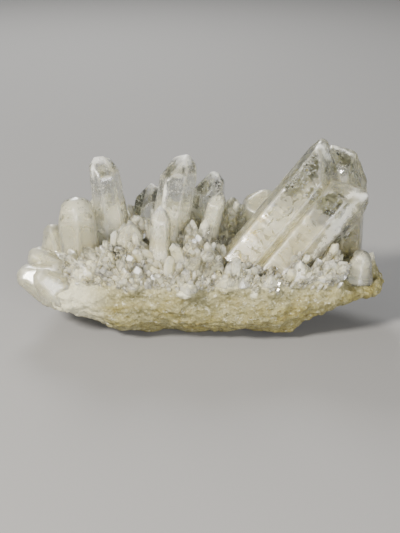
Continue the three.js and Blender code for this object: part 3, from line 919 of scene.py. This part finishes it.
druse = {
    "count": 850,
    "mostTries": 40000,
    "sweep": (12, 168),  # degrees, from low in front over the top to low behind
    "span": (-27, 29.5),  # mm along the plate
    "width": (0.8, 3.1),  # mm across the corners
    "edgeWidth": 1.0,  # the widest along the front edge
    "edgeLevel": (13.5, 17),  # mm, over which that limit ends
    "slim": (0.7, 2.0),  # how many times longer than wide a point shows
    "rightSlim": (0.7, 1.5),  # the same at the right, where they are stubby
    "rightFrom": 14,  # mm
    "clear": (0.1, 0.95),
    "root": 0.9,  # how far it stands in the plate, in widths
    "frontLevel": 13.0,  # mm, where the druse begins above the broken front
    "backLevel": 11.0,
    "headroom": 4,  # mm that stay free between a point's root and a large point above it
    "tipAngle": 51.8,  # degrees, between the tip's faces and a plane across the point
    "apart": 0.42,  # how far two points stay apart, in widths
    "creep": 1.2,  # mm, how far it climbs from the plate up the large points
    # where it climbs further or less
    "farCreep": {"left_end_points": 2.6, "left_point": 2.6, "front_left_stub_point": 2.0,
                 "rear_milky_points": 0.8, "great_points": 1.6, "front_point": 0.8,
                 "right_knob_point": 0.6},
}


def smallPoint(bm, rng, slim):
    # one six-sided point one unit wide with its root below the origin, along +Z
    point = bmesh.new()
    length = slim + 0.5 + druse["root"]
    bmesh.ops.create_cone(point, cap_ends=True, segments=6, radius1=0.5, radius2=0.46, depth=length)
    bmesh.ops.translate(point, verts=point.verts, vec=(0, 0, length / 2 - druse["root"]))
    lean = math.radians(druse["tipAngle"])
    for side in range(6):
        turn = math.radians(60 * side + 30)
        normal = Vector((math.cos(turn) * math.sin(lean), math.sin(turn) * math.sin(lean), math.cos(lean)))
        cap = rng.uniform(0, 0.14) if side % 2 else rng.uniform(-0.22, 0.05)
        cutPlane(point, (0, 0, slim + cap), normal, 1e-6, clear_outer=True)
    bmesh.ops.scale(point, verts=point.verts, vec=(1, rng.uniform(0.62, 1), 1))
    return addMesh(bm, point)


def leaningAxes():
    # root and long direction of every large point, so that the druse near its root leans with it
    leans = []
    for name in pointSpecs:
        bm = copyOfNode(name)
        axis = growthAxes(bm)[0]
        root = min((vert.co for vert in bm.verts), key=lambda co: co.dot(axis)).copy()
        leans.append((root, axis))
        bm.free()
    return leans


def growDruse():
    rng = random.Random("druse")
    bigTrees = {name: treeOfNode(name) for name in pointSpecs}
    leans = leaningAxes()
    bm = bmesh.new()
    clearness, rim, along, stain, _ = addLayers(bm, crystalLayers)
    taken = []
    tries = 0
    while len(taken) < druse["count"] and tries < druse["mostTries"]:
        tries += 1
        angle = math.radians(rng.uniform(*druse["sweep"]))
        x = rng.uniform(*druse["span"]) * mm
        outwards = Vector((x / (60 * mm), -math.cos(angle), math.sin(angle))).normalized()
        outside = Vector((x * 0.9, 0, 6 * mm)) + outwards * 60 * mm
        hit, surfaceNormal, _, far = plateTree.ray_cast(outside, -outwards)
        ground = plateTree
        for name, tree in bigTrees.items():
            place, normal, _, away = tree.ray_cast(outside, -outwards)
            if place is not None and (hit is None or away < far):
                creep = druse["farCreep"].get(name, druse["creep"])
                above = plateTree.find_nearest(place)[3] / mm
                inReach = above < creep * (1 + 0.5 * mottle(place, 3, 7))
                hit, surfaceNormal, far, ground = (place if inReach else None), normal, away, tree
        level = druse["frontLevel"] if outwards.y < 0 else druse["backLevel"]
        if hit is None or hit.z < (level + 1.3 * mottle(hit, 6, 4)) * mm:
            continue
        start = hit + outwards * 0.1 * mm
        if any(tree.ray_cast(start, outwards, druse["headroom"] * mm)[0] is not None
               for tree in bigTrees.values()):
            continue
        width = between(druse["width"], rng.random() ** 1.5) * mm
        if outwards.y < 0:
            aboveEdge = smooth(*druse["edgeLevel"], hit.z / mm)
            width = min(width, between((druse["edgeWidth"], druse["width"][1]), aboveEdge) * mm)
        if any((hit - other).length < druse["apart"] * max(width, otherWidth) for other, otherWidth in taken):
            continue
        slim = rng.uniform(*druse["rightSlim" if hit.x > druse["rightFrom"] * mm else "slim"])
        growth = Vector((hit.x / (50 * mm), hit.y / (45 * mm), 1.0))
        for root, axis in leans:
            near = 1 - smooth(4, 11, (hit - root).length / mm)
            growth += axis * 0.6 * near
        axis = (growth.normalized() + surfaceNormal * 0.55 + jitter(rng, 0.2)).normalized()
        foot = hit - axis * druse["root"] * width
        nearest, outwardsThere, _, _ = ground.find_nearest(foot)
        if (foot - nearest).dot(outwardsThere) > -0.48 * width:
            continue
        verts = smallPoint(bm, rng, slim)
        pose = Matrix.Translation(hit) @ turnedTo(axis, rng.uniform(0, 1.0)) @ Matrix.Scale(width, 4)
        bmesh.ops.transform(bm, matrix=pose, verts=verts)
        stand = slim * width
        clear = rng.uniform(*druse["clear"])
        # ochre at each small point's foot, fading up the point: partly iron stain, partly painted shade in
        # the crevices between the points
        footRustAndShade = (0.45 + 0.5 * mottle(hit, 8, 5) + 0.45 * smooth(10, 28, hit.x / mm)) * lessRustAndShadeBehind(hit)
        for vert in verts:
            share = smooth(-0.2, 0.9, (vert.co - hit).dot(axis) / stand)
            vert[clearness] = clear * share
            vert[rim] = 0.2
            vert[along] = (vert.co - hit).dot(axis) / mm * 1.5
            vert[stain] = footRustAndShade * (1 - share)
        taken.append((hit, width))
    print("druse points", len(taken), "after", tries, "tries")
    addPiece("druse", bm, crystalMaterials["crust"], [])


growDruse()
print("druse done")


# Veils: sheets of healed cracks in the clear quartz, each a crowd of tiny bright flakes

veils = {
    "flakes": 60,  # in each sheet
    "width": (0.16, 0.6),  # mm
    "spread": 0.6,  # how far from its middle a sheet reaches, in window radii
    "depth": (0.4, 2.6),  # mm from the face to the middle of a sheet
    "goldDepth": (0.15, 0.3),
    "skin": 0.3,  # mm of clean quartz over a flake
    "goldSkin": 0.08,
    "looseDepth": (0.3, 1.1),  # mm
    # loose flakes just below the faces, for each group
    "loose": {"great_points": 1500, "left_end_points": 500, "centre_point": 450, "left_point": 400,
              "middle_point": 250, "front_point": 120, "rear_milky_points": 200, "right_knob_point": 60},
    # middle, radius and sheets of the places in the great point where flakes are gold: partly an iron film,
    # partly a painted glint
    "golden": [((10.0, -7.3, 22.5), 1.6, 2), ((7.4, -9.8, 17.4), 1.2, 2), ((12.2, -5.8, 25.6), 1.0, 1)],
}


def addFlake(bm, rng, place, normal, gold, layer):
    shape = bmesh.new()
    bmesh.ops.create_cone(shape, cap_ends=True, segments=5, radius1=0.5, radius2=0.42, depth=0.07)
    verts = addMesh(bm, shape)
    width = between(veils["width"], rng.random() ** 2) * mm
    angle = rng.uniform(0, 6.3)
    sizes = (width, width * rng.uniform(0.35, 1.0), width, 1)
    if gold:  # long and thin, and all one way
        angle = rng.gauss(0.6, 0.3)
        sizes = (2.2 * width, 0.5 * width, width, 1)
    pose = Matrix.Translation(place) @ turnedTo(normal, angle) @ Matrix.Diagonal(sizes)
    bmesh.ops.transform(bm, matrix=pose, verts=verts)
    for vert in verts:
        vert[layer] = gold


def growVeils():
    rng = random.Random("veils")
    bm = bmesh.new()
    layer, = addLayers(bm, ["gold"])
    count = 0
    for name, spec in pointSpecs.items():
        tree = treeOfNode(name)
        places = [(*window, 0.0) for window in spec["windows"]]
        if name == "great_points":
            places += [(*shine, 1.0) for shine in veils["golden"]]
        for spot, radius, sheets, gold in places:
            for _ in range(sheets):
                surface, outwards, _, _ = tree.find_nearest(Vector(spot) * mm)
                middle = surface - outwards * rng.uniform(*veils["goldDepth" if gold else "depth"]) * mm
                normal = outwards if gold else anyWay(rng)
                across = normal.orthogonal().normalized()
                for _ in range(veils["flakes"]):
                    place = middle + across * rng.gauss(0, veils["spread"]) * radius * mm
                    place += normal.cross(across) * rng.gauss(0, veils["spread"]) * radius * mm
                    place += normal * (0.1 if gold else 0.25) * mm * mottle(place, 1.5, 3)
                    nearest, outwards, _, away = tree.find_nearest(place)
                    skin = veils["goldSkin"] if gold else veils["skin"]
                    if (place - nearest).dot(outwards) > 0 or away < skin * mm:
                        continue
                    addFlake(bm, rng, place, (normal + jitter(rng, 0.5)).normalized(), gold, layer)
                    count += 1
        corners = [Vector(corner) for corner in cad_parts[name].bound_box]
        for _ in range(veils["loose"].get(name, 0)):
            spot = Vector([rng.uniform(corners[0][i], corners[6][i]) for i in range(3)])
            nearest, outwards, _, _ = tree.find_nearest(spot)
            if mottle(nearest, 2.5, 8) > 0.0:
                facing = outwards + jitter(rng, 0.8)
                place = nearest - outwards * rng.uniform(*veils["looseDepth"]) * mm
                if (tree.find_nearest(place)[0] - place).length > veils["skin"] * 0.8 * mm:
                    addFlake(bm, rng, place, facing.normalized(), 0.0, layer)
                    count += 1
    print("veil flakes", count)
    addPiece("veils", bm, flakeMaterial("veilFlakes", veilLook), [])


growVeils()
print("veils done")


# Floor, light and camera

stageSet = {
    "floor": "#8b8a88",
    "floorReach": 6,  # m from the middle to each side
    "surroundings": "#8b8d90",
    "surroundingsPower": 0.8,
    # place, target and width in m, power in W, colour
    "lights": {
        "keyLight": ((-0.24, -0.265, 0.28), (0, 0, 0.015), 0.09, 4.1, "#fffaf2"),
        "fillLight": ((0.16, -0.5, 0.14), (0, 0, 0.015), 0.3, 3.4, "#fbfbff"),
        "backLight": ((-0.1, 0.42, 0.34), (0, 0, 0.02), 0.2, 2.5, "#ffffff")},
    # the photograph's view, square on to the long side
    "lens": 71.4,
    "sensor": 36,
    "pitch": 22,  # degrees down
    "distance": 230,  # mm
    "target": (-0.6, 0.59, 12.25),  # mm
}


def addFloor():
    bm = bmesh.new()
    bmesh.ops.create_grid(bm, x_segments=2, y_segments=2, size=stageSet["floorReach"])
    floor = objectOf("floor", bm)
    material = bpy.data.materials.new("paleFloor")
    material.use_nodes = True
    shader = material.node_tree.nodes["Principled BSDF"]
    shader.inputs["Base Color"].default_value = linear(stageSet["floor"])
    shader.inputs["Roughness"].default_value = 0.95
    floor.data.materials.append(material)


def addLight(name, place, target, width, power, colour):
    data = bpy.data.lights.new(name, "AREA")
    data.shape = "DISK"
    data.size = width
    data.energy = power
    data.color = linear(colour)[:3]
    light = bpy.data.objects.new(name, data)
    bpy.context.scene.collection.objects.link(light)
    light.location = place
    light.rotation_euler = (Vector(target) - Vector(place)).to_track_quat("-Z", "Y").to_euler()


def addCamera():
    data = bpy.data.cameras.new("camera")
    data.lens = stageSet["lens"]
    data.sensor_width = stageSet["sensor"]
    data.clip_start = 0.01
    camera = bpy.data.objects.new("camera", data)
    bpy.context.scene.collection.objects.link(camera)
    pitch = math.radians(stageSet["pitch"])
    backwards = Vector((0, -math.cos(pitch), math.sin(pitch)))
    camera.location = Vector(stageSet["target"]) * mm + backwards * stageSet["distance"] * mm
    camera.rotation_euler = (math.radians(90) - pitch, 0, 0)
    bpy.context.scene.camera = camera


addFloor()
for name, settings in stageSet["lights"].items():
    addLight(name, *settings)
addCamera()
world = bpy.data.worlds.new("studio")
bpy.context.scene.world = world
world.use_nodes = True
background = world.node_tree.nodes["Background"]
background.inputs["Color"].default_value = linear(stageSet["surroundings"])
background.inputs["Strength"].default_value = stageSet["surroundingsPower"]
print("stage done")
